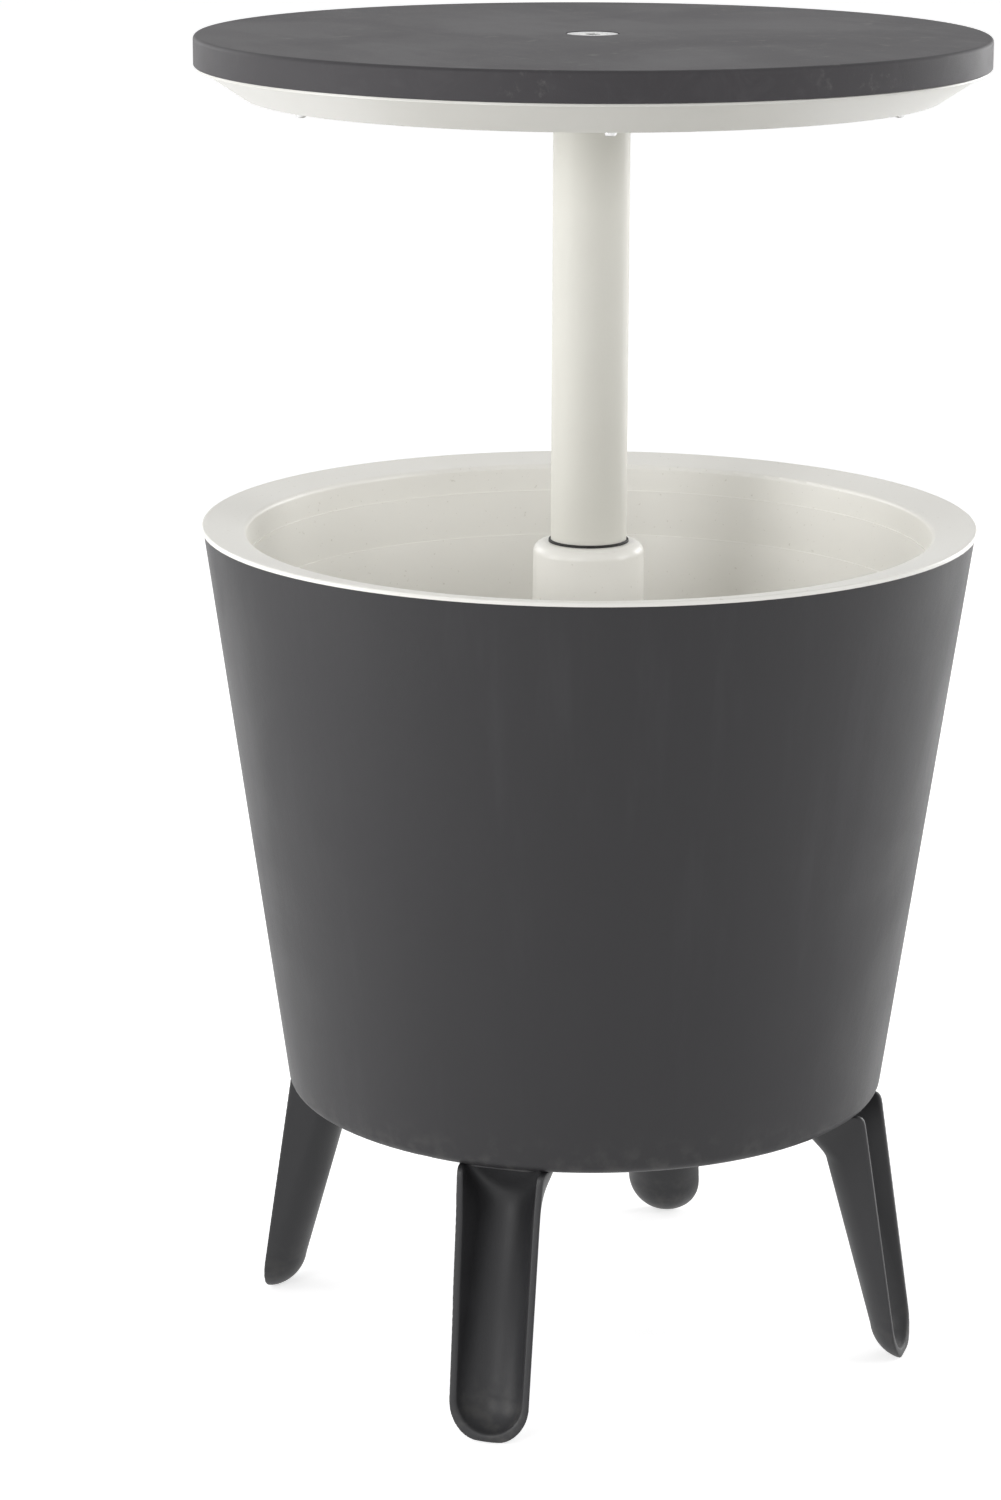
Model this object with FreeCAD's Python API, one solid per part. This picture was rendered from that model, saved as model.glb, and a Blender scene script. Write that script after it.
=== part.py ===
"""Cooler table: an insulated bucket on four scooped legs, with a table top on a rising post as its lid.

Millimetres, +Z up. The origin is on the floor, on the bucket's axis. The table is modelled raised.
-Y is the front, and the four legs stand on the diagonals.
"""

import FreeCAD
import Part

import math
import os

Vector = FreeCAD.Vector
AXIS_Z = Vector(0, 0, 1)
ORIGIN = Vector(0, 0, 0)

# ---- Driving dimensions ----

# Bucket
rim_radius = 245.0
rim_height = 540.0
rim_thickness = 3.0
rim_drop = 5.2  # the flange falls this much from its outer edge to the mouth
rim_overhang = 1.0  # how far the rim's edge stands out over the shell
rim_width = 28.0  # from the rim's outer edge to the mouth
base_radius = 192.0
base_height = 169.0
shell_wall = 3.0
shell_corner = 8.0
liner_wall = 3.0
liner_floor_gap = 66.0  # from the shell's underside to the bucket's floor at its edge
floor_rise = 4.0  # the floor climbs this much towards the tower, so it drains outwards
floor_corner = 18.0
first_ledge_drop = 17.0  # the two stacking ledges, measured down from the mouth
second_ledge_drop = 47.0
ledge_width = 0.8

# Tower, post and bayonet
tower_clearance = 0.8  # between the guide sleeve and the tower round it
tower_flare = 3.5  # moulding draft, over the tower's height
tower_shoulder = 7.0
tower_drop = 13.6  # from the rim's edge down to the tower's top
post_radius = 24.0
post_wall = 2.5
running_gap = 0.1
sleeve_wall = 2.5
sleeve_land = 12.0  # length of each bearing land in the guide
sleeve_relief = 0.9
lug_reach = 4.3
lug_height = 12.0
lug_half_angle = 25.0
lug_gap = 0.5
lug_slack_angle = 2.0
post_hold = 69.5  # how much of the post stays in the guide when the table is raised
lock_turn = 90.0
foot_gap = 4.5  # under the post when the table is down
cap_lip = 2.0

# Table top and its tray
table_overhang = 1.0  # how far the table's edge stands out over the rim's
lid_height = 38.0  # from the tray's underside to the table's surface
skirt_height = 18.5
table_wall = 3.0
table_edge = 2.5
tray_wall = 2.5
tray_mouth_gap = 1.7  # how much smaller the tray's foot is than the mouth
tray_lip = 2.0
tray_lip_inset = 1.6
tray_step = 2.6
seat_gap = 0.4
screw_count = 6
screw_inset = 9.3  # from the edge of the tray's flat underside
first_screw_angle = -116.5
bolt_head_radius = 16.4
bolt_head_height = 3.2
bolt_radius = 5.0
bolt_neck_radius = 9.0
bolt_neck_height = 6.0
bolt_hex = 10.0
nut_hex = 17.0
nut_height = 8.0
plug_length = 34.0

# Legs
leg_angles = {"front_left": -135, "front_right": -45, "back_right": 45, "back_left": 135}
leg_wall = 3.6
leg_edge_round = 0.8
leg_stand_out = 1.5  # how far the open side stands out past the bucket's foot
leg_foot_bulge = 7.2  # the foot's rounding is centred this far past the open side
leg_lean = 8.8  # degrees, of the open side
leg_taper = 7.6  # degrees, between the open side and the back
leg_foot_radius = 26.0
leg_top_half_width = 28.5
leg_foot_flat = 1.5
leg_knee_drop = 35.0  # the back starts to flare this far under the bucket
leg_flare_radius = 42.0
leg_top_round = 7.0
leg_toe_round = 2.0
leg_roof_drop = 22.0
leg_roof_slope = 54.0
plug_inset = 8.5  # from the leg's sides and open side
plug_depth = 28.0
plug_height = 28.0
plug_wall = 3.0
socket_gap = 0.3

# Drain
drain_inset = 46.0  # from the edge of the bucket's foot
drain_radius = 9.0
spout_wall = 5.0
spout_stand_out = 4.0

fit_gap = 0.05  # between pieces that are pressed or threaded together
loose_gap = 0.3  # between pieces that only pass each other

# ---- Worked out from the driving dimensions ----

mouth_radius = rim_radius - rim_width
shell_top = rim_height - rim_thickness
shell_top_radius = rim_radius - rim_overhang
shell_slope = (shell_top_radius - base_radius) / (shell_top - base_height)
mouth_height = rim_height - rim_drop
floor_height = base_height + liner_floor_gap
tower_top = rim_height - tower_drop
tower_crown = 3.2

seal_flange_height = 2.0
seal_lip_radius = post_radius + 1.4
seal_proud = 1.6
sleeve_bore = post_radius + lug_reach + 0.4
sleeve_radius = sleeve_bore + sleeve_wall
tower_inner_radius = sleeve_radius + tower_clearance
tower_radius = tower_inner_radius + liner_wall
sleeve_top = tower_top - tower_crown - seal_flange_height - 2 * running_gap
rail_bore = post_radius + 0.7
channel_half_angle = lug_half_angle + lug_slack_angle
sleeve_flange_radius = sleeve_radius + 12.8
sleeve_flange_height = 3.0
sleeve_screw_circle = sleeve_radius + 7.0

foot_lowest = base_height + sleeve_flange_height + foot_gap + cap_lip
lift_travel = sleeve_top - post_hold - foot_lowest

table_radius = rim_radius + table_overhang
lid_foot_radius = mouth_radius - tray_mouth_gap
screw_circle = lid_foot_radius - screw_inset
tray_lip_radius = table_radius - tray_lip_inset
cone_top_radius = tray_lip_radius - tray_step
cone_height = lid_height - skirt_height - tray_lip
cone_slope = cone_height / (cone_top_radius - lid_foot_radius)
closed_floor = mouth_height - tray_mouth_gap * cone_slope + seat_gap
tray_floor = closed_floor + lift_travel
table_top_height = tray_floor + lid_height
skirt_bottom = table_top_height - skirt_height

foot_bottom = foot_lowest + lift_travel
foot_top = foot_bottom + lug_height
collar_bottom = foot_top + lug_gap
post_flange = 3.0
post_top = tray_floor - post_flange
rail_top = foot_bottom - lug_gap
rail_bottom = foot_top - lift_travel + lug_gap

leg_top_reach = base_radius + leg_stand_out
plug_outer_reach = leg_top_reach - plug_inset
plug_inner_reach = plug_outer_reach - plug_depth
plug_half_width = leg_top_half_width - plug_inset
leg_foot_centre = leg_foot_radius - leg_foot_flat
drain_reach = base_radius - drain_inset


# ---- Tools ----


def outline(corners, place):
    """A closed wire through (a, b, radius) corners, each rounded by its radius; place turns (a, b) into a point."""
    count = len(corners)
    starts, ends, middles = [], [], []
    for i, (a, b, radius) in enumerate(corners):
        here = Vector(a, b, 0)
        before = Vector(corners[i - 1][0], corners[i - 1][1], 0) - here
        after = Vector(corners[(i + 1) % count][0], corners[(i + 1) % count][1], 0) - here
        before.normalize()
        after.normalize()
        half = math.acos(max(-1.0, min(1.0, before.dot(after)))) / 2
        if radius <= 0 or abs(half - math.pi / 2) < 1e-6:
            starts.append(here)
            ends.append(here)
            middles.append(None)
            continue
        reach = radius / math.tan(half)
        inward = before + after
        inward.normalize()
        starts.append(here + before * reach)
        ends.append(here + after * reach)
        middles.append(here + inward * (radius / math.sin(half) - radius))
    edges = []
    for i in range(count):
        if middles[i] is not None:
            points = [place(p.x, p.y) for p in (starts[i], middles[i], ends[i])]
            edges.append(Part.Arc(*points).toShape())
        start, end = ends[i], starts[(i + 1) % count]
        if (end - start).Length > 1e-6:
            edges.append(Part.LineSegment(place(start.x, start.y), place(end.x, end.y)).toShape())
    return Part.Wire(edges)


def turned(corners, angle=360.0, start=0.0):
    """A solid turned about Z from a section of (radius, height, rounding) corners."""
    section = Part.Face(outline(corners, lambda r, z: Vector(r, 0, z)))
    solid = section.revolve(ORIGIN, AXIS_Z, angle)
    if start:
        solid.rotate(ORIGIN, AXIS_Z, start)
    return solid


def ring(inner, outer, low, high, angle=360.0, start=0.0):
    """A ring, or part of one, between two radii and two heights."""
    corners = [(inner, low, 0), (outer, low, 0), (outer, high, 0), (inner, high, 0)]
    return turned(corners, angle, start)


def cylinder(radius, low, high, x=0.0, y=0.0):
    return Part.makeCylinder(radius, high - low, Vector(x, y, low))


def around(count, circle, first=0.0):
    """Places evenly spaced on a circle."""
    angles = [math.radians(first + 360.0 * i / count) for i in range(count)]
    return [(circle * math.cos(a), circle * math.sin(a)) for a in angles]


def hexagon(across_flats, low, high):
    corner = across_flats / 2 / math.cos(math.pi / 6)
    points = [Vector(x, y, low) for x, y in around(6, corner)]
    return Part.Face(Part.makePolygon(points + points[:1])).extrude(Vector(0, 0, high - low))


def rounded_block(x0, x1, half_y, low, high, radius):
    """An upright block with rounded upright edges."""
    corners = [(x0, -half_y, radius), (x1, -half_y, radius), (x1, half_y, radius), (x0, half_y, radius)]
    face = Part.Face(outline(corners, lambda x, y: Vector(x, y, low)))
    return face.extrude(Vector(0, 0, high - low))


def save(name, shape):
    if shape.ShapeType == "Compound" and len(shape.Solids) == 1:
        shape = shape.Solids[0]
    if not shape.isValid():
        raise ValueError(name + " isn't a valid solid")
    shape.exportStep(os.path.join("parts", name + ".step"))
    print(name, len(shape.Solids), "solid(s)", round(shape.Volume / 1000, 1), "cm3")


# ---- Bucket ----


def shell_radius(height):
    """The shell's outer radius at a height."""
    return base_radius + (height - base_height) * shell_slope


def leg_plug(gap, height):
    """The upright plug on a leg's top, or with a gap the socket that takes it."""
    inner, outer = plug_inner_reach - gap, plug_outer_reach + gap
    return rounded_block(inner, outer, plug_half_width + gap, base_height, base_height + height, 5.0 + gap)


def outer_shell():
    """The dark tapered shell, with sockets for the legs and holes for the sleeve and the drain."""
    inside = shell_wall * math.hypot(1, shell_slope)
    floor = base_height + shell_wall
    centre_hole = sleeve_radius + loose_gap
    body = turned([
        (centre_hole, base_height, 0),
        (base_radius, base_height, shell_corner),
        (shell_top_radius, shell_top, 0),
        (shell_top_radius - inside, shell_top, 0),
        (shell_radius(floor) - inside, floor, shell_corner - shell_wall),
        (centre_hole, floor, 0),
    ])
    drain_hole = cylinder(drain_radius + spout_wall + loose_gap, base_height - 1, floor + 1, 0, drain_reach)
    body = body.cut(drain_hole)
    for angle in leg_angles.values():
        wall = leg_plug(socket_gap + plug_wall, plug_height + 2.0)
        hollow = leg_plug(socket_gap, plug_height + 3.0)
        hollow.translate(Vector(0, 0, -0.5))
        for piece in (wall, hollow):
            piece.rotate(ORIGIN, AXIS_Z, angle)
        body = body.fuse(wall).cut(hollow)
    for x, y in around(4, sleeve_screw_circle, 45.0):
        boss = cylinder(5.0, base_height, base_height + 14.0, x, y)
        pilot = cylinder(1.9 + fit_gap, base_height - 1, base_height + 11.0, x, y)
        body = body.fuse(boss).cut(pilot)
    return body.removeSplitter()


def inner_liner():
    """The pale bucket in one moulding: rim flange, stepped wall, floor, drain spout and hollow tower."""
    first_ledge = mouth_height - first_ledge_drop
    second_ledge = mouth_height - second_ledge_drop
    wall_top = mouth_radius - 1.0
    band_foot = wall_top - ledge_width - (second_ledge_drop - first_ledge_drop) * shell_slope / 2
    floor_radius = band_foot - ledge_width - (second_ledge - floor_height) * shell_slope
    tower_foot = tower_radius + tower_flare
    skirt_foot = shell_top - 13.0
    skirt_low = shell_radius(skirt_foot) - shell_wall - 2 * loose_gap
    skirt_high = shell_radius(shell_top) - shell_wall - 2 * loose_gap
    flange_slope = rim_drop / (rim_radius - mouth_radius)
    skirt_root = rim_height - rim_thickness - (rim_radius - skirt_high + 2.5) * flange_slope
    wet = [
        (rim_radius, rim_height, 1.4),
        (mouth_radius, mouth_height, 3.0),
        (wall_top, first_ledge, 0),
        (wall_top - ledge_width, first_ledge, 0),
        (band_foot, second_ledge, 0),
        (band_foot - ledge_width, second_ledge, 0),
        (floor_radius, floor_height, floor_corner),
        (tower_foot, floor_height + floor_rise, 8.0),
        (tower_radius, tower_top, tower_shoulder),
        (seal_lip_radius + running_gap, tower_top, 0),
    ]
    dry = [
        (seal_lip_radius + running_gap, tower_top - tower_crown, 0),
        (tower_inner_radius, tower_top - tower_crown, 0),
        (tower_foot - liner_wall, floor_height + floor_rise - liner_wall, 0),
        (floor_radius + liner_wall, floor_height - liner_wall, floor_corner + liner_wall),
        (mouth_radius + liner_wall - 0.6, mouth_height - liner_wall, 0),
        (skirt_high - 2.5, skirt_root, 0),
        (skirt_low - 2.5, skirt_foot, 0),
        (skirt_low, skirt_foot, 0),
        (skirt_high, shell_top, 0),
        (rim_radius, shell_top, 0),
    ]
    body = turned(wet + dry)
    spout_bottom = base_height - spout_stand_out
    spout = cylinder(drain_radius + spout_wall, spout_bottom, floor_height - 0.5, 0, drain_reach)
    bore = cylinder(drain_radius, spout_bottom - 1, floor_height + floor_rise + 1, 0, drain_reach)
    return body.fuse(spout).cut(bore).removeSplitter()


# ---- Guide for the post ----


def guide_sleeve():
    """The tube inside the tower: bearing lands at the top, and below them the bayonet's rails and stops."""
    bearing = post_radius + running_gap
    relief = bearing + sleeve_relief
    flange_bottom = base_height - sleeve_flange_height
    body = turned([
        (sleeve_bore, flange_bottom, 0),
        (sleeve_flange_radius, flange_bottom, 1.0),
        (sleeve_flange_radius, base_height, 0),
        (sleeve_radius, base_height, 0),
        (sleeve_radius, sleeve_top, 0),
        (bearing, sleeve_top, 0),
        (bearing, sleeve_top - sleeve_land, 0),
        (relief, sleeve_top - sleeve_land - sleeve_relief, 0),
        (relief, collar_bottom + sleeve_land + sleeve_relief, 0),
        (bearing, collar_bottom + sleeve_land, 0),
        (bearing, collar_bottom, 0),
        (sleeve_bore, collar_bottom, 0),
    ])
    grip = 0.5
    rail_sweep = 180.0 - 2 * channel_half_angle
    stop_sweep = rail_sweep - lock_turn
    lowest = foot_lowest - lug_gap
    for side in (0.0, 180.0):
        start = side + channel_half_angle
        rail = ring(rail_bore, sleeve_bore + grip, rail_bottom, rail_top, rail_sweep, start)
        high_stop = ring(rail_bore, sleeve_bore + grip, rail_top - grip, collar_bottom + grip, stop_sweep, start)
        low_stop = ring(rail_bore, sleeve_bore + grip, lowest, rail_bottom + grip, stop_sweep, start)
        body = body.fuse([rail, high_stop, low_stop])
    for x, y in around(4, sleeve_screw_circle, 45.0):
        body = body.cut(cylinder(2.3, flange_bottom - 1, base_height + 1, x, y))
    return body.removeSplitter()


def pan_screw(x, y, seat, length):
    """A pan-headed screw that points up, with its head under the seat."""
    screw = turned([
        (0, seat - 3.0, 0),
        (3.6, seat - 3.0, 2.3),
        (3.6, seat, 0),
        (1.9, seat, 0),
        (1.9, seat + length - 2.0, 0),
        (0, seat + length, 0),
    ])
    screw.translate(Vector(x, y, 0))
    return screw


def sleeve_screws():
    seat = base_height - sleeve_flange_height
    return Part.makeCompound([pan_screw(x, y, seat, 12.0) for x, y in around(4, sleeve_screw_circle, 45.0)])


def base_cap():
    """The snap-in cap that closes the sleeve from below."""
    seat = base_height - sleeve_flange_height
    plug = sleeve_bore - fit_gap
    return turned([
        (0, seat - 2.0, 0),
        (sleeve_bore + 2.5, seat - 2.0, 1.0),
        (sleeve_bore + 2.5, seat, 0),
        (plug, seat, 0),
        (plug, base_height + cap_lip, 0),
        (plug - 2.0, base_height + cap_lip, 0),
        (plug - 2.0, seat, 0),
        (0, seat, 0),
    ])


def post_seal():
    """The dark rubber wiper ring in the tower's mouth, trapped between the tower's crown and the sleeve."""
    low = sleeve_top + running_gap
    high = low + seal_flange_height
    return turned([
        (post_radius + fit_gap, low, 0),
        (seal_lip_radius + 2.6, low, 0),
        (seal_lip_radius + 2.6, high, 0),
        (seal_lip_radius, high, 0),
        (seal_lip_radius, tower_top + seal_proud, 0.6),
        (post_radius + fit_gap, tower_top + seal_proud, 0.4),
    ])


# ---- Post ----


def post_tube():
    return ring(post_radius - post_wall, post_radius, foot_top, post_top)


def post_head():
    """The plug in the post's top: it holds the nut, and two dogs on it turn with the tray."""
    plug = post_radius - post_wall - fit_gap
    bottom = post_top - plug_length
    body = turned([
        (bolt_radius + 0.4, bottom, 0),
        (plug, bottom, 0),
        (plug, post_top, 0),
        (post_radius, post_top, 0),
        (post_radius, tray_floor, 0),
        (bolt_radius + 0.4, tray_floor, 0),
    ])
    body = body.cut(hexagon(nut_hex + 2 * fit_gap, bottom - 1, bottom + plug_length / 2))
    for side in (-1, 1):
        dog = rounded_block(side * 14.0 - 3.0, side * 14.0 + 3.0, 4.0, tray_floor - 0.5, tray_floor + 2.2, 1.0)
        body = body.fuse(dog)
    return body.removeSplitter()


def bolt_nut():
    top = post_top - plug_length / 2
    return hexagon(nut_hex, top - nut_height, top).cut(cylinder(bolt_radius + fit_gap, top - nut_height, top))


def post_foot():
    """The plug in the post's bottom, with the two bayonet lugs that slide between the rails and lock over them."""
    plug = post_radius - post_wall - fit_gap
    body = turned([
        (0, foot_bottom, 0),
        (post_radius, foot_bottom, 1.0),
        (post_radius, foot_top, 0),
        (plug, foot_top, 0),
        (plug, foot_top + 26.0, 0),
        (plug - 2.5, foot_top + 26.0, 0),
        (plug - 2.5, foot_bottom + 3.0, 0),
        (0, foot_bottom + 3.0, 0),
    ])
    lug_inner = post_radius - 0.8
    for side in (0.0, 180.0):
        lug = turned([
            (lug_inner, foot_bottom, 0),
            (post_radius + lug_reach, foot_bottom, 0.8),
            (post_radius + lug_reach, foot_top, 0.8),
            (lug_inner, foot_top, 0),
        ], 2 * lug_half_angle, side - lug_half_angle)
        body = body.fuse(lug)
    return body.removeSplitter()


# ---- Table, which is the lid ----


def table_top():
    """The dark top: a disc with a skirt, a recess for the bolt's head and bosses for the tray's screws."""
    surface = table_top_height
    recess = bolt_head_height + 0.3
    neck = recess + bolt_neck_height + 0.3
    tray_inside = tray_floor + tray_wall
    body = turned([
        (bolt_radius + 0.4, surface - neck, 0),
        (bolt_neck_radius + 0.3, surface - neck, 0),
        (bolt_neck_radius + 0.3, surface - recess, 0),
        (bolt_head_radius + 0.3, surface - recess, 0),
        (bolt_head_radius + 0.3, surface, 0),
        (table_radius, surface, table_edge),
        (table_radius, skirt_bottom, 0.8),
        (table_radius - table_wall, skirt_bottom, 0),
        (table_radius - table_wall, surface - table_wall, 0),
        (bolt_head_radius + 6.0, surface - table_wall, 0),
        (bolt_head_radius + 6.0, tray_inside, 0),
        (bolt_radius + 0.4, tray_inside, 0),
    ])
    for x, y in around(screw_count, screw_circle, first_screw_angle):
        boss = cylinder(5.5, tray_inside, surface - table_wall / 2, x, y)
        pilot = cylinder(1.9 + fit_gap, tray_inside - 1, tray_inside + 15.0, x, y)
        body = body.fuse(boss).cut(pilot)
    return body.removeSplitter()


def lid_tray():
    """The pale dish under the table, which drops into the bucket's mouth and closes it."""
    inner_foot = lid_foot_radius - tray_wall * 0.4
    lip_bottom = skirt_bottom - tray_lip
    upstand = table_radius - table_wall - loose_gap
    hole = bolt_radius + 0.4
    collar = post_radius + loose_gap
    body = turned([
        (hole, tray_floor, 0),
        (collar, tray_floor, 0),
        (collar, tray_floor - 4.0, 0),
        (collar + 3.0, tray_floor - 4.0, 0.8),
        (collar + 3.0, tray_floor, 1.5),
        (lid_foot_radius, tray_floor, 3.0),
        (cone_top_radius, lip_bottom, 0),
        (tray_lip_radius, lip_bottom, 0.5),
        (tray_lip_radius, skirt_bottom, 0.5),
        (upstand, skirt_bottom, 0),
        (upstand, skirt_bottom + 6.0, 0),
        (upstand - tray_wall, skirt_bottom + 6.0, 0),
        (upstand - tray_wall, lip_bottom + tray_wall, 0),
        (inner_foot, tray_floor + tray_wall, 0),
        (hole, tray_floor + tray_wall, 0),
    ])
    for side in (-1, 1):
        middle = side * 14.0
        slot = rounded_block(middle - 3.3, middle + 3.3, 4.3, tray_floor - 1, tray_floor + tray_wall + 1, 1.2)
        body = body.cut(slot)
    for x, y in around(screw_count, screw_circle, first_screw_angle):
        body = body.cut(cylinder(2.3, tray_floor - 1, tray_floor + tray_wall + 1, x, y))
    return body


def tray_screws():
    places = around(screw_count, screw_circle, first_screw_angle)
    return Part.makeCompound([pan_screw(x, y, tray_floor, 14.0) for x, y in places])


def table_bolt():
    """The broad flush bolt that clamps the top and tray to the post."""
    surface = table_top_height - 0.3
    under_head = surface - bolt_head_height
    neck_bottom = under_head - bolt_neck_height
    tip = post_top - plug_length / 2 - nut_height - 4.0
    body = turned([
        (0, tip, 0),
        (bolt_radius, tip, 0),
        (bolt_radius, neck_bottom, 0),
        (bolt_neck_radius, neck_bottom, 0),
        (bolt_neck_radius, under_head, 0),
        (bolt_head_radius, under_head, 0),
        (bolt_head_radius, surface, 0.6),
        (bolt_neck_radius, surface, 0),
        (bolt_neck_radius - 0.6, surface - 0.6, 0),
        (0, surface - 0.6, 0),
    ])
    return body.cut(hexagon(bolt_hex, surface - 6.5, surface + 1))


# ---- Legs ----


def open_side(height):
    """The open side's distance from the axis at a height."""
    return leg_top_reach + (base_height - height) * math.tan(math.radians(leg_lean))


def back_side(height, wall=0.0):
    """The back's distance from the axis at a height, or with a wall the hollow's."""
    lean = math.radians(leg_lean + leg_taper)
    foot_reach = open_side(leg_foot_centre) + leg_foot_bulge
    return foot_reach - (leg_foot_radius - wall) / math.cos(lean) - (height - leg_foot_centre) * math.tan(lean)


def leg_frame():
    """The centre of the foot's rounding, and the leg's own axis, halfway between the open side and the back."""
    start = Vector(open_side(leg_foot_centre) + leg_foot_bulge, 0, leg_foot_centre)
    lean = math.radians(leg_lean + leg_taper / 2)
    along = Vector(-math.sin(lean), 0, math.cos(lean))
    outward = Vector(math.cos(lean), 0, math.sin(lean))
    return start, along, outward


def leg_section(distance, offset, flare=0.0):
    """One D-shaped section across the leg: a half-ellipse back, and flat sides that run past the open side."""
    start, along, outward = leg_frame()
    length = (base_height - start.z) / along.z
    half = leg_foot_radius + (leg_top_half_width - leg_foot_radius) * distance / length
    drift = math.tan(math.radians(leg_taper / 2)) * distance
    centre = half - leg_foot_radius - drift
    front = 30.0 + drift
    depth = half - offset + flare
    half -= offset
    base = start + along * distance

    def place(x, y):
        return base + outward * x + Vector(0, y, 0)

    left, right = place(front, half), place(front, -half)
    side_left, side_right = place(centre, half), place(centre, -half)
    back = place(centre - depth, 0)
    if flare > 0:
        ellipse = Part.Ellipse(back, side_left, place(centre, 0))
        curve = Part.ArcOfEllipse(ellipse, -math.pi / 2, math.pi / 2).toShape()
    else:
        curve = Part.Arc(side_right, back, side_left).toShape()
    return Part.Wire([
        Part.LineSegment(right, side_right).toShape(),
        curve,
        Part.LineSegment(side_left, left).toShape(),
        Part.LineSegment(left, right).toShape(),
    ])


def leg_body(offset, flared):
    """The leg's full outline, or with an offset the hollow inside it, before the open side is cut."""
    start, along, outward = leg_frame()
    knee = (base_height - leg_knee_drop - start.z) / along.z
    end = (base_height - start.z) / along.z + 12.0
    radius = leg_foot_radius - offset
    ball = Part.makeSphere(radius, start)
    toe = Part.makeCylinder(radius, 30.0, start, outward)
    shaft = Part.makeLoft([leg_section(0, offset), leg_section(knee if flared else end, offset)], True, True)
    body = shaft.fuse([ball, toe])
    if flared:
        steps = [knee + (end - knee) * share for share in (0.0, 0.2, 0.4, 0.6, 0.8, 1.0)]
        rise = [min(step - knee, leg_flare_radius * 0.95) for step in steps]
        flares = [leg_flare_radius - math.sqrt(leg_flare_radius**2 - r**2) for r in rise]
        sections = [leg_section(step, offset, flare) for step, flare in zip(steps, flares)]
        body = body.fuse(Part.makeLoft(sections, True, False))
    return body


def side_prism(corners):
    """A slab across the leg from an outline of (reach, height, rounding) corners."""
    width = 60.0
    face = Part.Face(outline(corners, lambda x, z: Vector(x, -width, z)))
    return face.extrude(Vector(0, 2 * width, 0))


def round_rim(body):
    """The same leg with the edges round its open side softened."""
    lean = math.radians(leg_lean)
    facing = Vector(math.cos(lean), 0, math.sin(lean))
    rims = [f for f in body.Faces if f.Surface.TypeId == "Part::GeomPlane" and f.normalAt(0, 0).dot(facing) > 0.999]
    rim = max(rims, key=lambda face: face.Area)
    edges = [e for e in rim.Edges if e.Length > 4 * leg_edge_round]
    return body.makeFillet(leg_edge_round, edges)


def leg():
    """One scooped leg, on +X: open outwards, round at the back, flared where it meets the bucket."""
    trim = side_prism([
        (60.0, 0, 0),
        (open_side(0), 0, leg_toe_round),
        (open_side(base_height), base_height, leg_top_round),
        (60.0, base_height, 0),
    ])
    roof_low = base_height - leg_roof_drop
    back = back_side(roof_low, leg_wall)
    rise = math.tan(math.radians(leg_roof_slope))
    top = base_height + 60.0
    below_roof = side_prism([
        (back - 60.0, -20.0, 0),
        (open_side(0) + 80.0, -20.0, 0),
        (open_side(0) + 80.0, top, 0),
        (back + (top - roof_low) / rise, top, 0),
        (back, roof_low, 4.0),
        (back - 60.0, roof_low, 0),
    ])
    hollow = leg_body(leg_wall, False).common(below_roof)
    body = leg_body(0.0, True).common(trim).cut(hollow).removeSplitter()
    body = round_rim(body)
    plug = leg_plug(0.0, plug_height)
    plug_hollow = rounded_block(
        plug_inner_reach + plug_wall,
        plug_outer_reach - plug_wall,
        plug_half_width - plug_wall,
        base_height + 2.0,
        base_height + plug_height + 1.0,
        2.0,
    )
    return body.fuse(plug).cut(plug_hollow).removeSplitter()


# ---- Drain ----


def drain_seal():
    high = base_height - spout_stand_out
    seal = ring(drain_radius + 0.2, drain_radius + spout_wall - 0.5, high - 2.0, high)
    seal.translate(Vector(0, drain_reach, 0))
    return seal


def drain_plug():
    """The push-in plug under the spout, with a finger grip."""
    seat = base_height - spout_stand_out - 2.0
    shank = drain_radius - fit_gap
    body = turned([
        (0, seat - 4.0, 0),
        (drain_radius + spout_wall + 2.0, seat - 4.0, 1.2),
        (drain_radius + spout_wall + 2.0, seat, 0.8),
        (shank, seat, 0),
        (shank, seat + 18.0, 1.5),
        (0, seat + 18.0, 0),
    ])
    grip = rounded_block(-12.0, 12.0, 2.2, seat - 13.0, seat - 3.5, 2.0)
    body = body.fuse(grip)
    body.translate(Vector(0, drain_reach, 0))
    return body.removeSplitter()


def main():
    os.makedirs("parts", exist_ok=True)
    print("table raised to", round(table_top_height, 2), "closed at", round(table_top_height - lift_travel, 2))
    print("post in the guide when raised:", round(sleeve_top - foot_bottom, 1))
    pieces = (
        outer_shell, inner_liner, guide_sleeve, sleeve_screws, base_cap, post_seal,
        post_tube, post_head, bolt_nut, post_foot,
        table_top, lid_tray, tray_screws, table_bolt,
        drain_seal, drain_plug,
    )
    for piece in pieces:
        save(piece.__name__, piece())
    for name, angle in leg_angles.items():
        shape = leg()
        shape.rotate(ORIGIN, AXIS_Z, angle)
        save("leg_" + name, shape)


main()
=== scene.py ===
"""Cooler table, raised: a dark insulated bucket on scooped legs, under a round table that is its lid."""

import bpy
import math
from mathutils import Matrix, Vector


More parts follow.
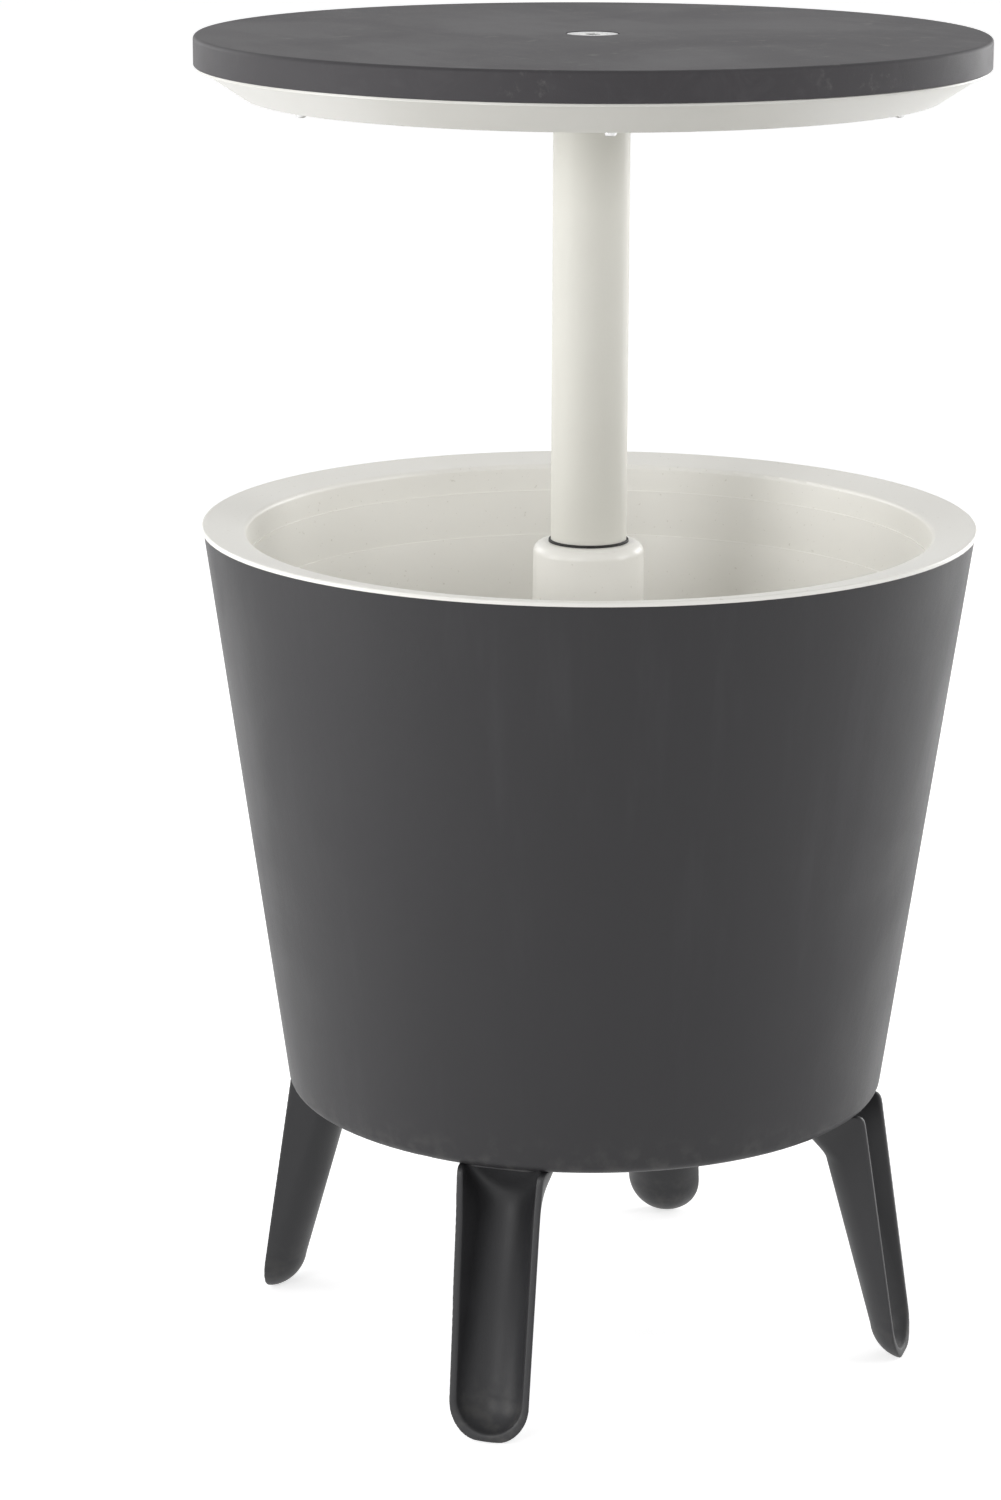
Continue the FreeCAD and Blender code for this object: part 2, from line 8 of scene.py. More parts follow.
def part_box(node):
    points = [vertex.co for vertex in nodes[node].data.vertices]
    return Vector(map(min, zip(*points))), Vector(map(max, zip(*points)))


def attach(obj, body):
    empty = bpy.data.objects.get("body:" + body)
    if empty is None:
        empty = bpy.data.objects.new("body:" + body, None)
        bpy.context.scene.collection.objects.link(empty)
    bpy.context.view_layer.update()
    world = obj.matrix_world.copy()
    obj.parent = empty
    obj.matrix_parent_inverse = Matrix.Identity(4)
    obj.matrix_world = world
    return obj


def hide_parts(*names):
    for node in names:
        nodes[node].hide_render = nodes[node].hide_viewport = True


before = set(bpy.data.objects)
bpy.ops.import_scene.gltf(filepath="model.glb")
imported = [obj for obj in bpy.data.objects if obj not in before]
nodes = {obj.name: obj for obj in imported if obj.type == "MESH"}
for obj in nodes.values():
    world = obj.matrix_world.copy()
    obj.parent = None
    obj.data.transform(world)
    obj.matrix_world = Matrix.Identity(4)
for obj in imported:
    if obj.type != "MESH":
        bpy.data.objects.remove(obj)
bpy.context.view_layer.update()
scene = bpy.context.scene


# ---- Camera ----
# A long lens from standing height, to the left of the front, turned a little past the bucket's axis.

view_azimuth = math.radians(-29.5)
view_distance, view_height = 2.667, 1.071
view_pitch, view_turn, view_roll = 0.25042, 0.0208, 0.003
lens_per_sensor = 4282.4 / 1500
sensor = 36.0

camera_data = bpy.data.cameras.new("camera")
camera_data.sensor_width = sensor
camera_data.lens = lens_per_sensor * sensor
camera = bpy.data.objects.new("camera", camera_data)
standpoint = Vector((math.sin(view_azimuth), -math.cos(view_azimuth), 0)) * view_distance
standpoint.z = view_height
camera.matrix_world = (
    Matrix.Translation(standpoint)
    @ Matrix.Rotation(view_azimuth + view_turn, 4, "Z")
    @ Matrix.Rotation(math.pi / 2 - view_pitch, 4, "X")
    @ Matrix.Rotation(view_roll, 4, "Z")
)
scene.collection.objects.link(camera)
scene.camera = camera


# ---- Outer shell ----
# The dark tapered bucket, injection moulded in polypropylene with a fine spark-eroded grain.
# Handling leaves soft cloudy marks, and the foot of the wall picks up a little pale dust.


class Sock:
    """An output socket that adds Math nodes when it's used in an expression."""

    def __init__(self, tree, socket):
        self.tree, self.socket = tree, socket

    def math(self, operation, *others):
        return self.tree.node("ShaderNodeMath", {"operation": operation}, self, *others)

    def __add__(self, other):
        return self.math("ADD", other)

    def __sub__(self, other):
        return self.math("SUBTRACT", other)

    def __rsub__(self, other):
        return self.tree.node("ShaderNodeMath", {"operation": "SUBTRACT"}, other, self)

    def __mul__(self, other):
        return self.math("MULTIPLY", other)

    def __truediv__(self, other):
        return self.math("DIVIDE", other)

    def __rtruediv__(self, other):
        return self.tree.node("ShaderNodeMath", {"operation": "DIVIDE"}, other, self)

    def __pow__(self, other):
        return self.math("POWER", other)

    def __neg__(self):
        return self * -1.0

    def __abs__(self):
        return self.math("ABSOLUTE")

    __radd__, __rmul__ = __add__, __mul__


class Tree:
    """Adds nodes to a node tree and fills their sockets."""

    def __init__(self, tree):
        self.tree = tree

    def node(self, kind, settings, *values, output=0, **named):
        """Adds a node, makes its settings, then fills its sockets in order or by name."""
        made = self.tree.nodes.new(kind)
        for key, value in settings.items():
            setattr(made, key, value)
        filled = [(made.inputs[i], v) for i, v in enumerate(values)]
        filled += [(made.inputs[k.replace("_", " ")], v) for k, v in named.items()]
        for socket, value in filled:
            self.fill(socket, value)
        return Sock(self, made.outputs[output])

    def fill(self, socket, value):
        if isinstance(value, Sock):
            self.tree.links.new(value.socket, socket)
        elif isinstance(value, tuple) and socket.type == "RGBA":
            socket.default_value = (*value, 1)
        else:
            socket.default_value = value

    def axes(self, vector):
        """The three parts of a vector."""
        split = self.node("ShaderNodeSeparateXYZ", {}, vector)
        return tuple(Sock(self, socket) for socket in split.socket.node.outputs)


class Finish(Tree):
    """A material's nodes, ending in one Principled BSDF; what is the same all over is set on its sockets."""

    def __init__(self, name, **plain):
        self.material = bpy.data.materials.new(name)
        self.material.use_nodes = True
        super().__init__(self.material.node_tree)
        self.shader = self.tree.nodes["Principled BSDF"]
        for socket, value in plain.items():
            self.fill(self.shader.inputs[socket.replace("_", " ")], value)
        self.place = self.node("ShaderNodeTexCoord", {}, output="Object")

    def noise(self, scale, detail=2.0, roughness=0.5, stretch=(1, 1, 1), distortion=0.0):
        spot = self.node("ShaderNodeMapping", {}, self.place, Scale=stretch)
        named = {"Scale": scale, "Detail": detail, "Roughness": roughness, "Distortion": distortion}
        return self.node("ShaderNodeTexNoise", {}, Vector=spot, **named)

    def band(self, value, low, high, at_low=0.0, at_high=1.0):
        """A smooth step of value from at_low to at_high."""
        named = {"Value": value, "From_Min": low, "From_Max": high, "To_Min": at_low, "To_Max": at_high}
        return self.node("ShaderNodeMapRange", {"interpolation_type": "SMOOTHSTEP"}, **named)

    def mix(self, share, first, second):
        made = self.tree.nodes.new("ShaderNodeMix")
        made.data_type = "RGBA"
        for index, value in ((0, share), (6, first), (7, second)):
            self.fill(made.inputs[index], value)
        return Sock(self, made.outputs[2])

    def apply(self, colour, roughness, *bumps):
        """Links what varies, and stacks (height, strength, distance) bumps on the normal."""
        self.fill(self.shader.inputs["Base Color"], colour)
        self.fill(self.shader.inputs["Roughness"], roughness)
        normal = {}
        for height, strength, distance in bumps:
            named = {"Height": height, "Strength": strength, "Distance": distance}
            normal = {"Normal": self.node("ShaderNodeBump", {}, **named, **normal)}
        if normal:
            self.fill(self.shader.inputs["Normal"], normal["Normal"])
        return self.material


def wear(material, *parts):
    """Gives the material to these CAD nodes."""
    for part in parts:
        for slot in nodes[part].material_slots:
            slot.material = material


shell = Finish("shell_grain", Specular_IOR_Level=0.38)
grain = shell.noise(1500.0, 2.0, 0.6)
clouds = shell.noise(7.0, 4.0, 0.55, distortion=0.4)
flow = shell.noise(26.0, 4.0, 0.6, stretch=(1, 1, 0.06))
height = shell.axes(shell.place)[2]
dust = shell.band(height + clouds * 0.03, 0.215, 0.165) * shell.band(shell.noise(90.0, 4.0), 0.45, 0.7)
tone = shell.mix(clouds, (0.018, 0.0174, 0.0190), (0.026, 0.0252, 0.0278))
tone = shell.mix(shell.band(flow, 0.5, 0.8, 0.0, 0.4), tone, (0.044, 0.043, 0.0465))
tone = shell.mix(dust * 0.25, tone, (0.16, 0.155, 0.145))
gloss = shell.band(clouds + flow * 0.4, 0.45, 0.95, 0.44, 0.56)
shell_grain = shell.apply(tone, gloss, (grain, 0.30, 0.0003), (shell.noise(240.0, 3.0), 0.10, 0.0008))
wear(shell_grain, "outer_shell", "base_cap", "drain_plug")


# ---- Inner liner ----
# The pale bucket, moulded in one with the broad rim, the stacking ledges and the hollow tower.
# Its glossy tool leaves a satin skin with faint level flow lines.

liner = Finish("liner_satin", Specular_IOR_Level=0.5)
clouds = liner.noise(9.0, 3.0, 0.5)
level = liner.noise(40.0, 2.0, 0.5, stretch=(0.15, 0.15, 1))
specks = liner.noise(420.0, 1.0)
tone = liner.mix(clouds, (0.885, 0.870, 0.820), (0.910, 0.898, 0.856))
tone = liner.mix(liner.band(specks, 0.72, 0.78, 0.0, 0.3), tone, (0.50, 0.47, 0.40))
gloss = liner.band(level, 0.3, 0.7, 0.30, 0.38)
waves, grain = liner.noise(24.0, 2.0), liner.noise(900.0, 2.0)
liner_satin = liner.apply(tone, gloss, (waves, 0.03, 0.001), (grain, 0.05, 0.0003))
wear(liner_satin, "inner_liner")


# ---- Guide sleeve, head and foot of the post ----
# Plain grey mouldings. The sleeve fills the tower and carries the rails that the post's lugs lock on.

guide = Finish("guide_plain", Specular_IOR_Level=0.4)
streaks = guide.noise(30.0, 3.0, 0.6, stretch=(1, 1, 0.15))
tone = guide.mix(streaks, (0.30, 0.30, 0.295), (0.38, 0.38, 0.37))
gloss = guide.band(streaks, 0.3, 0.7, 0.45, 0.58)
guide_plain = guide.apply(tone, gloss, (guide.noise(700.0, 2.0), 0.15, 0.0004))
wear(guide_plain, "guide_sleeve", "post_head", "post_foot")


# ---- Screws ----
# Pan-headed tapping screws, zinc plated, with a cross recess. Six hold the tray up under the table,
# and four hold the guide sleeve's flange under the bucket. They are driven from below.

zinc = Finish("zinc_steel", Metallic=1.0)
blotch = zinc.noise(260.0, 3.0, 0.6)
tone = zinc.mix(blotch, (0.56, 0.56, 0.55), (0.72, 0.72, 0.72))
gloss = zinc.band(blotch, 0.3, 0.7, 0.26, 0.40)
zinc_steel = zinc.apply(tone, gloss, (zinc.noise(1800.0, 2.0), 0.1, 0.0002))
wear(zinc_steel, "bolt_nut")


class Shape(Tree):
    """A Geometry Nodes tree with named sizes, evaluated into one plain mesh."""

    def __init__(self, name, **sizes):
        self.name = name
        super().__init__(bpy.data.node_groups.new(name, "GeometryNodeTree"))
        self.source = self.tree.nodes.new("NodeGroupInput")
        self.sizes = {}
        for label, value in sizes.items():
            kind = "NodeSocketInt" if isinstance(value, int) else "NodeSocketFloat"
            made = self.tree.interface.new_socket(label, in_out="INPUT", socket_type=kind)
            self.sizes[made.identifier] = value

    def __getitem__(self, label):
        return Sock(self, self.source.outputs[label])

    def vector(self, x, y, z):
        return self.node("ShaderNodeCombineXYZ", {}, x, y, z)

    def mesh(self, geometry, material):
        """Ends the tree and evaluates it into a mesh that wears the material."""
        geometry = self.node("GeometryNodeRealizeInstances", {}, geometry)
        geometry = self.node("GeometryNodeSetShadeSmooth", {}, geometry)
        geometry = self.node("GeometryNodeSetMaterial", {}, geometry, Material=material)
        self.tree.interface.new_socket("Geometry", in_out="OUTPUT", socket_type="NodeSocketGeometry")
        self.fill(self.tree.nodes.new("NodeGroupOutput").inputs[0], geometry)
        holder = bpy.data.objects.new(self.name, bpy.data.meshes.new(self.name))
        scene.collection.objects.link(holder)
        modifier = holder.modifiers.new(self.name, "NODES")
        modifier.node_group = self.tree
        for identifier, value in self.sizes.items():
            modifier[identifier] = value
        shaped = holder.evaluated_get(bpy.context.evaluated_depsgraph_get())
        mesh = bpy.data.meshes.new_from_object(shaped)
        bpy.data.objects.remove(holder)
        return mesh


def piece(name, mesh, body, replaced):
    """Puts a mesh in the scene as a piece of a body, in place of a CAD node."""
    item = bpy.data.objects.new(name, mesh)
    scene.collection.objects.link(item)
    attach(item, body)
    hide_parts(replaced)
    return item


def turned_grid(shape, rings, radius, height):
    """A closed surface of revolution: radius and height are fields of the way along its profile, 0 to 1."""
    columns, weld = 25, 0.00003
    named = {"Size_X": 1.0, "Size_Y": 1.0, "Vertices_X": columns, "Vertices_Y": rings}
    grid = shape.node("GeometryNodeMeshGrid", {}, **named)
    u, v, _ = shape.axes(shape.node("GeometryNodeInputPosition", {}))
    angle = (u + 0.5) * math.tau
    along = v + 0.5
    reach = radius(along)
    place = shape.vector(reach * angle.math("COSINE"), reach * angle.math("SINE"), height(along))
    solid = shape.node("GeometryNodeSetPosition", {}, grid, Position=place)
    return shape.node("GeometryNodeMergeByDistance", {}, solid, Distance=weld)


def screw_ring(name, part, body, **sizes):
    """A ring of screws that point up, with their heads under the seat."""
    ring = Shape(name, **sizes)
    head_radius, head_height, shank_radius = ring["head_radius"], ring["head_height"], ring["shank_radius"]
    head_rings, head_fullness = 18, 0.35
    shank_rings, thread_root, thread_depth, end_taper, tip_taper = 70, 0.0003, 0.0004, 60.0, 5.0
    recess_length, recess_width, recess_depth = 0.0042, 0.0011, 0.0036
    turn_to_next = 2.4

    def head_reach(along):
        swing = (along - 0.5) * math.pi
        return head_radius * abs(swing.math("COSINE")) ** head_fullness

    def head_level(along):
        swing = (along - 0.5) * math.pi
        return swing.math("SINE").math("MAXIMUM", 0.0) * -head_height

    def shank_reach(along):
        tip = ((1.0 - along) * tip_taper).math("MINIMUM", 1.0)
        end = (along * end_taper).math("MINIMUM", 1.0)
        thread = (along * ring["turns"]).math("PINGPONG", 0.5) * (2 * thread_depth)
        return (shank_radius - thread_root + thread) * tip * end

    head = turned_grid(ring, head_rings, head_reach, head_level)
    cuts = []
    head_end = ring.vector(0.0, 0.0, -head_height)
    for size in ((recess_length, recess_width, recess_depth), (recess_width, recess_length, recess_depth)):
        bar = ring.node("GeometryNodeMeshCube", {}, size)
        cuts.append(ring.node("GeometryNodeTransform", {}, bar, Translation=head_end))
    cross = ring.tree.nodes.new("GeometryNodeMeshBoolean")
    cross.operation = "DIFFERENCE"
    ring.fill(cross.inputs["Mesh 1"], head)
    for cut in cuts:
        ring.fill(cross.inputs["Mesh 2"], cut)
    shank = turned_grid(ring, shank_rings, shank_reach, lambda along: along * ring["length"])
    joined = ring.tree.nodes.new("GeometryNodeJoinGeometry")
    for part_of in (Sock(ring, cross.outputs["Mesh"]), shank):
        ring.fill(joined.inputs[0], part_of)
    places = ring.node("GeometryNodeMeshCircle", {}, Vertices=ring["count"], Radius=ring["circle"])
    turn = ring.vector(0.0, 0.0, ring["first"])
    places = ring.node(
        "GeometryNodeTransform", {}, places, Translation=ring.vector(0.0, 0.0, ring["seat"]), Rotation=turn
    )
    index = ring.node("GeometryNodeInputIndex", {})
    spin = ring.vector(0.0, 0.0, index * turn_to_next)
    screws = ring.node(
        "GeometryNodeInstanceOnPoints", {}, places, Instance=Sock(ring, joined.outputs[0]), Rotation=spin
    )
    piece(name, ring.mesh(screws, zinc_steel), body, part)


pan_head = {"head_radius": 0.0036, "head_height": 0.0030, "shank_radius": 0.0019}
tray_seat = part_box("tray_screws")[0][2] + pan_head["head_height"]
sleeve_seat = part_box("sleeve_screws")[0][2] + pan_head["head_height"]
mouth_radius, tray_gap, tray_screw_inset = 0.217, 0.0017, 0.0093
tray_circle = mouth_radius - tray_gap - tray_screw_inset
sleeve_screw_inset = 0.0058
sleeve_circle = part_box("guide_sleeve")[1][0] - sleeve_screw_inset
tray_first, sleeve_first = math.radians(-116.5), math.radians(45)
screw_ring(
    "tray_screw_ring", "tray_screws", "table",
    count=6, circle=tray_circle, first=tray_first, seat=tray_seat, length=0.014, turns=11.0, **pan_head,
)
screw_ring(
    "sleeve_screw_ring", "sleeve_screws", "cooler",
    count=4, circle=sleeve_circle, first=sleeve_first, seat=sleeve_seat, length=0.012, turns=9.0, **pan_head,
)


# ---- Post ----
# The aluminium tube, coated off-white, with the coat's fine orange peel.

post = Finish("post_coat", Specular_IOR_Level=0.32)
peel = post.noise(520.0, 1.0, 0.4)
clouds = post.noise(12.0, 2.0)
tone = post.mix(clouds, (0.70, 0.69, 0.635), (0.75, 0.74, 0.685))
post_coat = post.apply(tone, post.band(clouds, 0.3, 0.7, 0.46, 0.54), (peel, 0.10, 0.0004))
wear(post_coat, "post_tube")


# ---- Seals ----
# Dark rubber rings: one wipes the post in the tower's mouth, one closes the drain.

seal = Finish("seal_rubber", Specular_IOR_Level=0.35)
bloom = seal.noise(300.0, 3.0)
tone = seal.mix(bloom, (0.012, 0.012, 0.012), (0.026, 0.025, 0.024))
seal_rubber = seal.apply(tone, seal.band(bloom, 0.3, 0.7, 0.55, 0.7), (bloom, 0.2, 0.0003))
wear(seal_rubber, "post_seal", "drain_seal")


# ---- Table top ----
# The dark round top with its deep skirt, grained and dulled by wiping in every direction.

top = Finish("top_grain", Specular_IOR_Level=0.32)
grain = top.noise(1100.0, 3.0, 0.65)
clouds = top.noise(6.0, 5.0, 0.6, distortion=0.6)
wipes = top.noise(30.0, 5.0, 0.65, stretch=(1, 0.16, 1), distortion=1.1)
cross = top.noise(38.0, 4.0, 0.6, stretch=(0.2, 1, 1), distortion=1.1)
scuff = top.band(top.noise(75.0, 5.0, 0.7), 0.56, 0.74) * top.band(top.noise(6.0, 2.0), 0.46, 0.58)
tone = top.mix(clouds, (0.033, 0.0310, 0.0340), (0.052, 0.0488, 0.0530))
tone = top.mix(top.band(wipes, 0.46, 0.72, 0.0, 0.5), tone, (0.068, 0.0640, 0.0690))
tone = top.mix(top.band(cross, 0.50, 0.76, 0.0, 0.4), tone, (0.062, 0.0583, 0.0628))
tone = top.mix(scuff * 0.5, tone, (0.16, 0.155, 0.15))
gloss = top.band(clouds + wipes * 0.5, 0.5, 1.0, 0.54, 0.66)
top_grain = top.apply(tone, gloss, (grain, 0.4, 0.0004), (wipes, 0.10, 0.0006))
wear(top_grain, "table_top")


# ---- Lid tray ----
# The pale dish screwed up under the top. It drops into the bucket's mouth and closes it.

tray = Finish("tray_satin", Specular_IOR_Level=0.5)
clouds = tray.noise(8.0, 3.0)
tone = tray.mix(clouds, (0.72, 0.71, 0.67), (0.76, 0.75, 0.71))
gloss = tray.band(clouds, 0.3, 0.7, 0.28, 0.38)
waves, grain = tray.noise(60.0, 2.0), tray.noise(900.0, 2.0)
tray_satin = tray.apply(tone, gloss, (waves, 0.08, 0.001), (grain, 0.05, 0.0003))
wear(tray_satin, "lid_tray")


# ---- Table bolt ----
# A steel bolt with a hexagon socket clamps the top and tray to the post. A pale moulded washer round its
# head fills the recess in the middle of the top.

pale = Finish("bolt_pale", Specular_IOR_Level=0.5)
clouds = pale.noise(120.0, 3.0)
tone = pale.mix(clouds, (0.88, 0.875, 0.875), (0.92, 0.92, 0.918))
gloss = pale.band(clouds, 0.3, 0.7, 0.28, 0.40)
bolt_pale = pale.apply(tone, gloss, (pale.noise(1200.0, 2.0), 0.08, 0.0003))


def larger(first, second, soft):
    """The larger of two distances, with the edge where they meet rounded."""
    return first.math("SMOOTH_MAX", second, soft)


def solid_of(shape, distance, low, high, voxel):
    """The surface where the distance is nought, with inside below it, sampled between two corners."""
    counts = [round((b - a) / voxel) + 1 for a, b in zip(low, high)]
    named = {"Resolution_" + axis: count for axis, count in zip("XYZ", counts)}
    named.update(Density=distance * -1000.0, Background=-1.0, Min=low, Max=high)
    volume = shape.node("GeometryNodeVolumeCube", {}, **named)
    return shape.node("GeometryNodeVolumeToMesh", {}, volume, Threshold=0.0, Adaptivity=0.0)


bolt_low, bolt_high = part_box("table_bolt")
steel = Finish("socket_steel", Metallic=1.0)
smear = steel.noise(420.0, 3.0, 0.6)
depth = bolt_high[2] - steel.axes(steel.place)[2]
# Painted shade: below its mouth the hex socket fades to near-black, standing in for the shade deep in the
# recess.
socket_shade = steel.band(depth + smear * 0.0002, 0.0003, 0.0008)
tone = steel.mix(smear, (0.66, 0.66, 0.65), (0.78, 0.78, 0.77))
tone = steel.mix(socket_shade, tone, (0.035, 0.032, 0.034))
gloss = steel.band(smear, 0.3, 0.7, 0.34, 0.5)
socket_steel = steel.apply(tone, gloss, (steel.noise(1600.0, 2.0), 0.1, 0.0002))

bolt_sizes = {"head": 0.0089, "head_height": 0.0086, "shank": 0.0050, "socket": 0.0052, "socket_depth": 0.0070}
bolt = Shape("socket_bolt", **bolt_sizes)
crown_round, head_round, end_round, shank_sink, sharp = 0.0012, 0.0006, 0.0008, 0.004, 0.0002
hexagon_turn, hexagon_corner, socket_edge = 0.3, 0.0001, 0.0003
thread_pitch, thread_depth = 0.00125, 0.0004
voxel, margin = 0.0003, 0.001

x, y, z = bolt.axes(bolt.node("GeometryNodeInputPosition", {}))
radius = (x * x + y * y) ** 0.5
depth = bolt_high[2] - z
head = larger(larger(radius - bolt["head"], depth - bolt["head_height"], head_round), -depth, crown_round)
ridge = (depth / thread_pitch).math("PINGPONG", 0.5) * (2 * thread_depth)
shank = larger(radius - bolt["shank"] + thread_depth - ridge, bolt_low[2] - z, end_round)
shank = larger(shank, shank_sink - depth, sharp)
turns = [hexagon_turn + math.tau / 6 * step for step in range(3)]
flats = [abs(x * math.cos(turn) + y * math.sin(turn)) for turn in turns]
hexagon = larger(larger(flats[0], flats[1], hexagon_corner), flats[2], hexagon_corner) - bolt["socket"]
socket = larger(hexagon, depth - bolt["socket_depth"], sharp)
body = larger(head.math("MINIMUM", shank), -socket, socket_edge)
span = 0.0098
low, high = (-span, -span, bolt_low[2] - margin), (span, span, bolt_high[2] + margin)
shaft = solid_of(bolt, body, low, high, voxel)
piece("socket_bolt", bolt.mesh(shaft, socket_steel), "table", "table_bolt")

washer = Shape("bolt_washer", outer=0.0164, inner=0.0091, thickness=0.0031)
outer_round, wall_round, under_round = 0.0014, 0.0004, 0.0006
x, y, z = washer.axes(washer.node("GeometryNodeInputPosition", {}))
radius = (x * x + y * y) ** 0.5
depth = bolt_high[2] - z
ring = larger(radius - washer["outer"], washer["inner"] - radius, wall_round)
ring = larger(larger(ring, -depth, outer_round), depth - washer["thickness"], under_round)
span, reach_down = 0.0170, 0.0040
low, high = (-span, -span, bolt_high[2] - reach_down), (span, span, bolt_high[2] + margin)
pale_ring = solid_of(washer, ring, low, high, voxel)
piece("bolt_washer", washer.mesh(pale_ring, bolt_pale), "table", "table_bolt")


# ---- Legs ----
# Four scooped legs in the shell's plastic, a shade darker and duller, pushed into sockets under it.
# Each is open outwards, round at the back and foot, with drafted sides and a thin softened rim, and
# it swells where it meets the bucket. A sloped roof closes the scoop at the top.

mould = Finish("leg_grain", Specular_IOR_Level=0.42)
grain = mould.noise(1400.0, 2.0, 0.6)
clouds = mould.noise(16.0, 4.0, 0.55)
height = mould.axes(mould.place)[2]
dust = mould.band(height + clouds * 0.02, 0.06, 0.0) * mould.band(mould.noise(120.0, 4.0), 0.4, 0.7)
tone = mould.mix(clouds, (0.022, 0.022, 0.0235), (0.032, 0.032, 0.0345))
tone = mould.mix(dust * 0.3, tone, (0.13, 0.125, 0.115))
leg_grain = mould.apply(tone, mould.band(clouds, 0.3, 0.7, 0.42, 0.54), (grain, 0.30, 0.0003))

leg_sizes = {
    "base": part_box("outer_shell")[0][2],
    "reach": 0.1926,
    "foot_radius": 0.0270,
    "top_radius": 0.0210,
    "bulge": 0.0072,
    "top_inset": 0.0176,
    "wall": 0.0044,
    "toe_wall": 0.0021,
    "rim_soft": 0.0022,
}
leg = Shape("scooped_leg", **leg_sizes)
base_height = leg_sizes["base"]
lean, draft, spread = math.radians(8.7), math.radians(18.0), math.radians(25.0)
foot_flat, spread_drop, heel_drop, heel_rise, heel_reach = 0.0015, 0.038, 0.037, 0.019, 0.009
roof_drop, roof_slope, roof_round = 0.026, math.radians(54.0), 0.010
knee_round, toe_round = 0.009, 0.005
foot_centre = leg_sizes["foot_radius"] - foot_flat
foot_level = foot_centre - leg_sizes["bulge"] * math.sin(lean)
span = (base_height - foot_level) / math.cos(lean)

x, y, z = leg.axes(leg.node("GeometryNodeInputPosition", {}))
below = leg["base"] - z
front = (x - leg["reach"]) * math.cos(lean) - below * math.sin(lean)
climb = below * -math.cos(lean) - (x - leg["reach"]) * math.sin(lean) + span
opened = (1.0 - below / spread_drop).math("MAXIMUM", 0.0) ** 2.0
angle = draft - opened * spread
step = ((heel_drop - below) / heel_rise).math("MAXIMUM", 0.0).math("MINIMUM", 1.0)
heel = step * step * (3.0 - step * 2.0) * heel_reach


def scoop(lift, heel_depth):
    """How far a point lies outside the leg's round back and drafted sides, whose foot is a ball."""
    rise = climb - lift
    share = rise.math("MAXIMUM", 0.0) / span
    radius = share * (leg["top_radius"] - leg["foot_radius"]) + leg["foot_radius"]
    centre = leg["bulge"] - share * (leg["bulge"] + leg["top_inset"])
    half = (radius - centre * math.sin(draft)) / math.cos(draft)
    back = centre - radius - heel_depth
    sine, cosine = angle.math("SINE"), angle.math("COSINE")
    radius = (half * cosine + back * sine) / (1.0 - sine)
    fore = front - back - radius
    toe = rise.math("MINIMUM", 0.0)
    side = (y * y + toe * toe) ** 0.5
    round_back = (side * side + fore * fore) ** 0.5 - radius
    flat_side = side * cosine - fore * sine - radius
    past = (side * sine + fore * cosine).math("GREATER_THAN", 0.0)
    return round_back + (flat_side - round_back) * past


back_at_roof = leg["reach"] - leg["top_inset"] - leg["top_radius"] + leg["wall"]
back_at_roof = back_at_roof + roof_drop * math.tan(lean)
roof = (roof_drop - below) * math.cos(roof_slope) - (x - back_at_roof) * math.sin(roof_slope)
hollow = larger(scoop(leg["toe_wall"], 0.0) + leg["wall"], roof, roof_round)
side_view = larger(larger(front, -below, knee_round), -z, toe_round)
body = larger(scoop(0.0, heel), side_view, leg["rim_soft"])
body = larger(body, -hollow, leg["rim_soft"])
plug_back, plug_front, plug_half, plug_rise, plug_sink = 0.1575, 0.1845, 0.0195, 0.0275, 0.002
plug_corner, plug_end, plug_edge = 0.004, 0.001, 0.002
well_wall, well_floor, well_round, well_rim = 0.003, 0.002, 0.002, 0.0005
middle = (plug_back + plug_front) / 2
along = abs(x - middle) - (plug_front - plug_back) / 2
across = abs(y) - plug_half
ends = larger(-below - plug_rise, below - plug_sink, plug_end)
plug = larger(larger(along, across, plug_corner), ends, plug_edge)
well = larger(larger(along, across, well_wall) + well_wall, below + well_floor, well_round)
body = body.math("MINIMUM", larger(plug, -well, well_rim))
low, high = (0.136, -0.036, -0.002), (0.226, 0.036, base_height + 0.030)
voxel = 0.0008
scooped = solid_of(leg, body, low, high, voxel)
leg_mesh = leg.mesh(scooped, leg_grain)
corners = {"front_left": -135, "front_right": -45, "back_right": 45, "back_left": 135}
for corner, turn in corners.items():
    turned = leg_mesh.copy()
    turned.transform(Matrix.Rotation(math.radians(turn), 4, "Z"))
    piece("scooped_leg_" + corner, turned, "cooler", "leg_" + corner)


# ---- Floor, backdrop and light ----
# A pale studio floor under a white surround. Soft lamps stand in front at both sides and, lower, behind
# at both sides, and one more lights the table's top from behind.


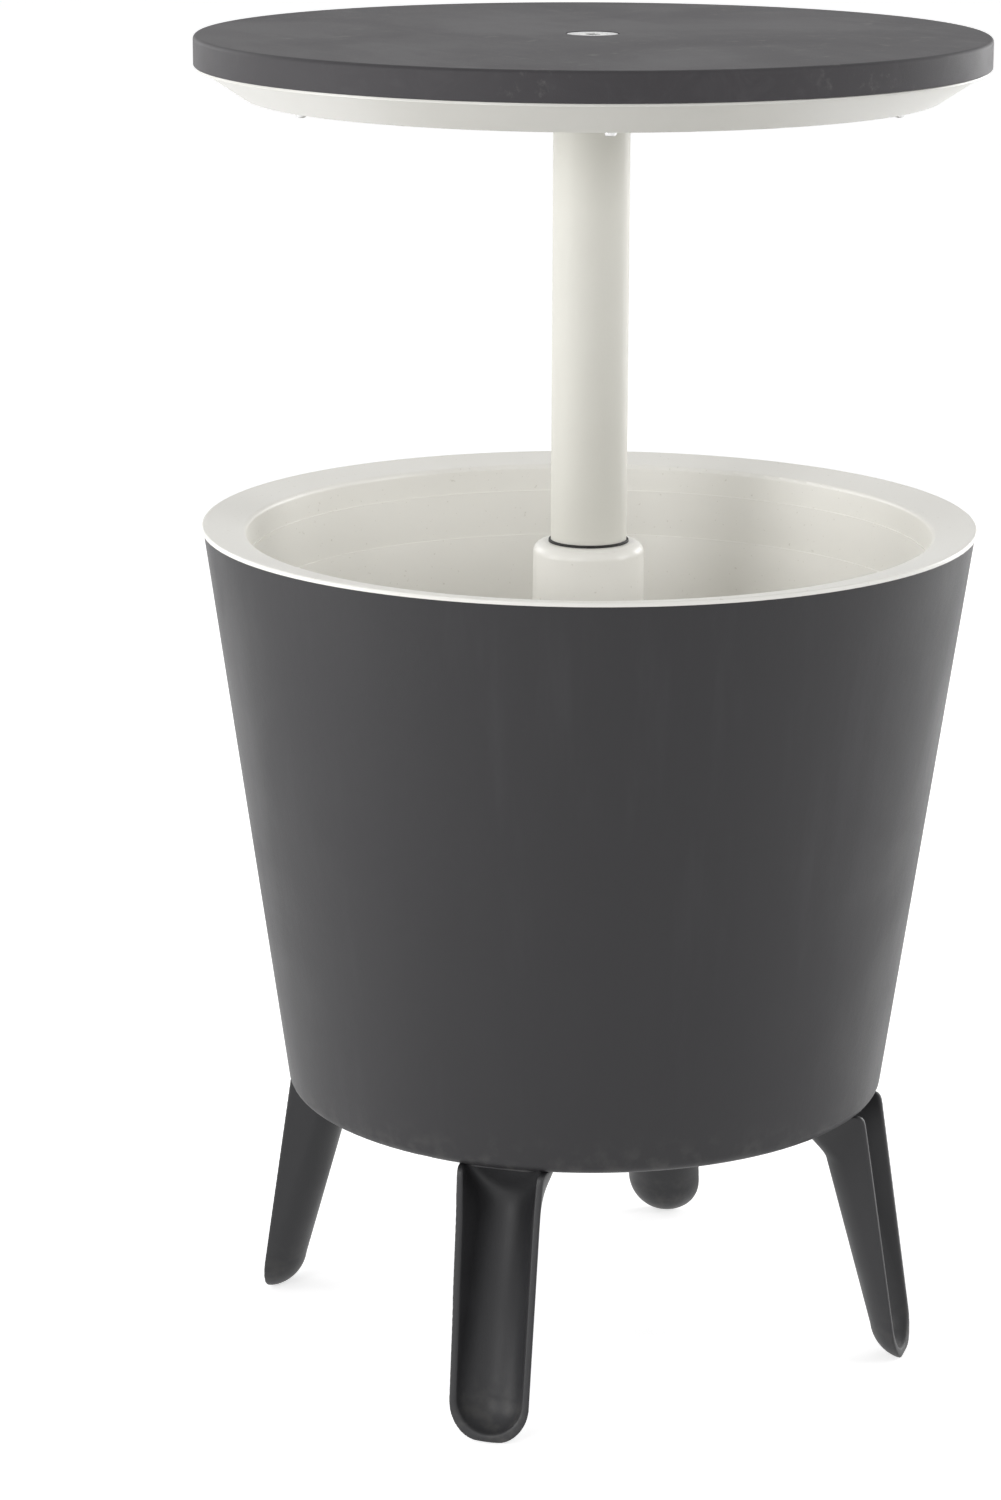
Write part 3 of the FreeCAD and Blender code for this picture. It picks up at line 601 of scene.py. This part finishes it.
def lamp(name, spot, aim, size, power):
    data = bpy.data.lights.new(name, "AREA")
    data.shape, data.size, data.energy = "DISK", size, power
    item = bpy.data.objects.new(name, data)
    item.location = spot
    item.rotation_euler = (Vector(aim) - Vector(spot)).to_track_quat("-Z", "Y").to_euler()
    scene.collection.objects.link(item)


lamp("front_left", (-2.5, -1.55, 1.35), (0, 0, 0.6), 1.0, 22)
lamp("front_right", (2.2, -1.9, 1.3), (0, 0, 0.6), 1.0, 21)
lamp("left_back", (-2.6, 0.7, 0.7), (0, 0, 0.6), 1.5, 28)
lamp("right_back", (2.6, 0.6, 0.9), (0, 0, 0.6), 1.5, 27)
lamp("back", (-1.0, 2.6, 1.3), (0, 0, 0.6), 1.4, 15)


def background_rays(tree):
    """1 for a ray that shows the background: from the camera, or by way of gloss or glass."""
    seen = tree.node("ShaderNodeLightPath", {}, output="Is Camera Ray")
    paths = seen.socket.node.outputs
    for kind in ("Is Glossy Ray", "Is Transmission Ray"):
        seen = seen.math("MAXIMUM", Sock(tree, paths[kind]))
    return seen


world = bpy.data.worlds.new("surround")
world.use_nodes = True
sky = Tree(world.node_tree)
seen = background_rays(sky)
fill_strength = 0.45
sky.fill(world.node_tree.nodes["Background"].inputs["Strength"], seen * (1 - fill_strength) + fill_strength)
sky.fill(world.node_tree.nodes["Background"].inputs["Color"], (1.0, 1.0, 1.0))
scene.world = world

mesh = bpy.data.meshes.new("floor")
reach = 40.0
floor_corners = [(-reach, -reach, 0), (reach, -reach, 0), (reach, reach, 0), (-reach, reach, 0)]
mesh.from_pydata(floor_corners, [], [(0, 1, 2, 3)])
floor = bpy.data.objects.new("floor", mesh)
scene.collection.objects.link(floor)
ground = Finish("floor_pale", Specular_IOR_Level=0.1)
mottle = ground.noise(3.0)
seen = background_rays(ground)
ground.fill(ground.shader.inputs["Emission Color"], ground.mix(seen, (0.0, 0.0, 0.0), (0.62, 0.62, 0.62)))
ground.shader.inputs["Emission Strength"].default_value = 1.0
mesh.materials.append(ground.apply(ground.mix(mottle, (0.80, 0.80, 0.80), (0.83, 0.83, 0.83)), 0.9))

scene.view_settings.view_transform = "Standard"
